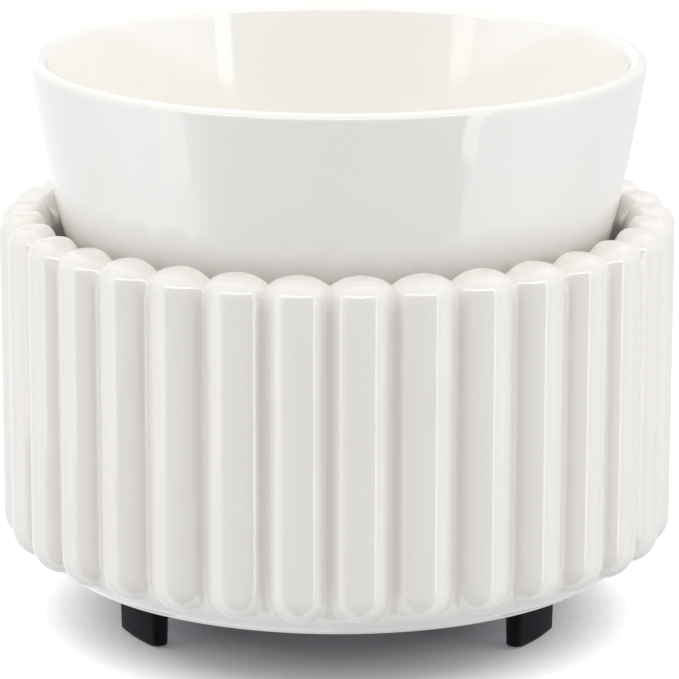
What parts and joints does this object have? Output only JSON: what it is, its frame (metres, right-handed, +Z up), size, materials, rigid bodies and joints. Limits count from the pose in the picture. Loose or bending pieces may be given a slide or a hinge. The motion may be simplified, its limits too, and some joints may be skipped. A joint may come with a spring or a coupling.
{
  "type": "wax melt warmer",
  "caption": "Round electric wax melt warmer: fluted white ceramic shell on black feet, with a lift-out flared melt dish over an internal hot plate.",
  "frame": {"origin": "on the floor at the centre of the part's footprint, on the axis of the shell and dish", "axes": "+Z up along the axis of the shell and dish, -Y the front seen in the picture, +X to the viewer's right"},
  "size_m": [0.1299, 0.1298, 0.1102],
  "materials": {
    "shell_glaze": "white gloss glaze",
    "dish_glaze": "white gloss glaze, slightly warmer inside",
    "plate_aluminium": "pressed, satin",
    "seal_silicone": "pale grey silicone",
    "mica_sheet": "pressed mica, brown",
    "fibre_pad": "white ceramic fibre",
    "element_foil": "etched resistance foil",
    "bright_steel": "zinc plated sheet",
    "fastener_steel": "zinc plated",
    "shield_steel": "aluminised sheet",
    "thermostat_moulding": "dark phenolic",
    "contact_brass": "plain brass",
    "fuse_case": "plated case",
    "glass_sleeve": "glass-fibre sleeving",
    "bush_plastic": "natural nylon",
    "base_plastic": "black, fine texture",
    "foot_plastic": "black, satin",
    "pad_rubber": "dark rubber",
    "gland_rubber": "black rubber",
    "terminal_plastic": "cream, heat resistant",
    "lead_silicone": "white silicone insulation"
  },
  "bodies": {
    "root": {"fluted_shell": "shell_glaze", "hot_plate": "plate_aluminium", "plate_gasket": "seal_silicone", "base_gasket": "seal_silicone", "mica_upper": "mica_sheet", "mica_lower": "mica_sheet", "insulation_pad": "fibre_pad", "heating_element": "element_foil", "clamp_plate": "bright_steel", "clamp_studs": "fastener_steel", "clamp_washers": "fastener_steel", "clamp_nuts": "fastener_steel", "tie_studs": "fastener_steel", "thermostat_cap": "plate_aluminium", "thermostat_body": "thermostat_moulding", "thermostat_blades": "contact_brass", "spade_connectors": "contact_brass", "thermal_fuse": "fuse_case", "fuse_sleeve": "glass_sleeve", "fuse_clip": "bright_steel", "upper_posts": "fastener_steel", "lower_posts": "fastener_steel", "heat_shield": "shield_steel", "shield_bushes": "bush_plastic", "bottom_cover": "base_plastic", "cord_gland": "gland_rubber", "foot_front_left": "foot_plastic", "foot_front_right": "foot_plastic", "foot_rear": "foot_plastic", "foot_pads": "pad_rubber", "cover_screws": "fastener_steel", "terminal_block": "terminal_plastic", "terminal_inserts": "contact_brass", "terminal_screws": "fastener_steel", "block_screw": "fastener_steel", "live_lead": "lead_silicone", "fuse_lead": "lead_silicone", "link_lead": "lead_silicone", "neutral_lead": "lead_silicone"},
    "dish": {"melt_dish": "dish_glaze"}
  },
  "joints": [
    {"name": "dish_lift", "type": "slide", "parent": "root", "child": "dish", "axis": [0, 0, 1], "range_m": [0, 0.06]}
  ]
}
